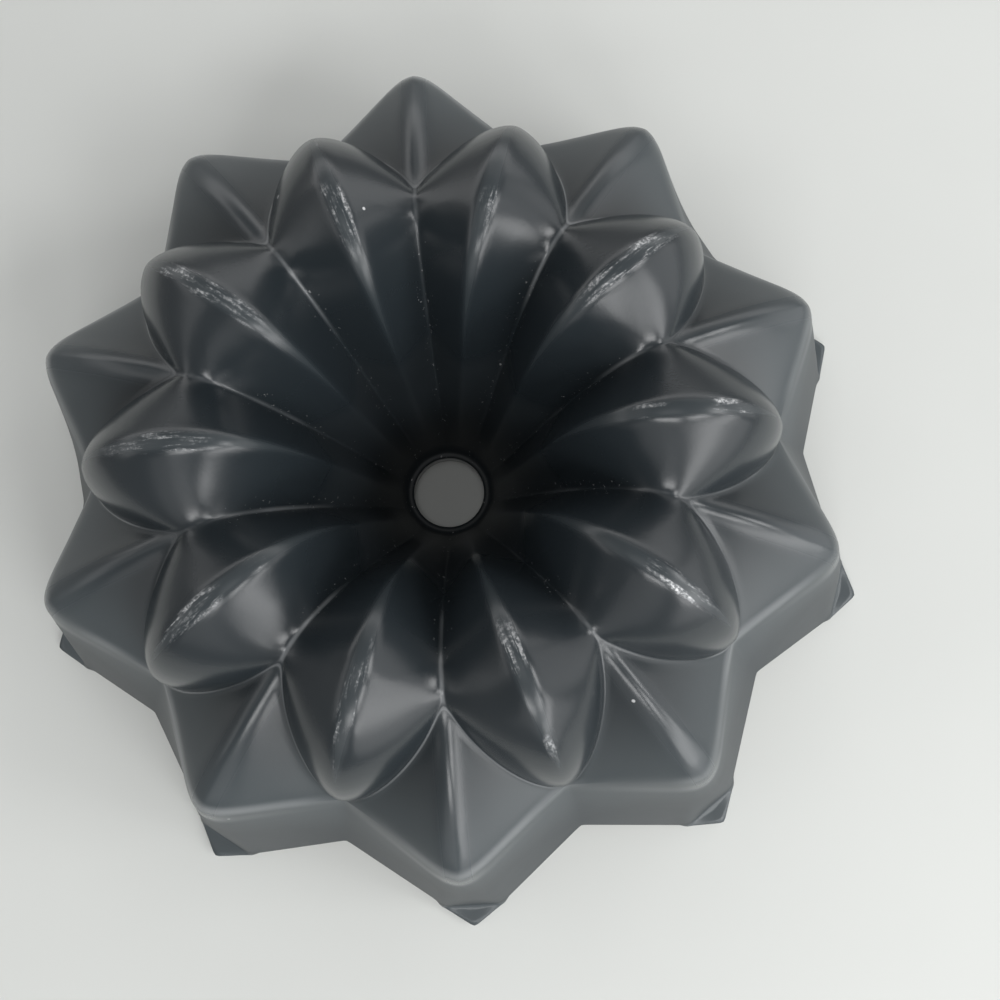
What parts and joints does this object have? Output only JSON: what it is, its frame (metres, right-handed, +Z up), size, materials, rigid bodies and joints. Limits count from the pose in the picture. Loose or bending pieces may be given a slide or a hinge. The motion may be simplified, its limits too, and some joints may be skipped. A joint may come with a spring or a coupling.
{
  "type": "star bundt pan",
  "caption": "Cast star-shaped bundt cake mould with leaf petals around an open centre tube, black coat outside, non-stick lining inside, shown resting mouth down on the foot tabs of its points.",
  "frame": {"origin": "on the table under the middle of the tube, in the plane that the foot tabs stand on", "axes": "+Z up along the tube, away from the mouth; a star point lies on +Y and one on -Y, and a petal on +X and one on -X"},
  "size_m": [0.2472, 0.26, 0.0985],
  "materials": {
    "cast_aluminium": "as cast, bare only where the coats end or are worn",
    "outer_coat": "black satin baked coat, scuffed along the petal ridges",
    "nonstick_lining": "dark satin non-stick"
  },
  "bodies": {
    "root": {"cast_shell": "cast_aluminium", "outer_coat": "outer_coat", "nonstick_lining": "nonstick_lining"}
  },
  "joints": []
}
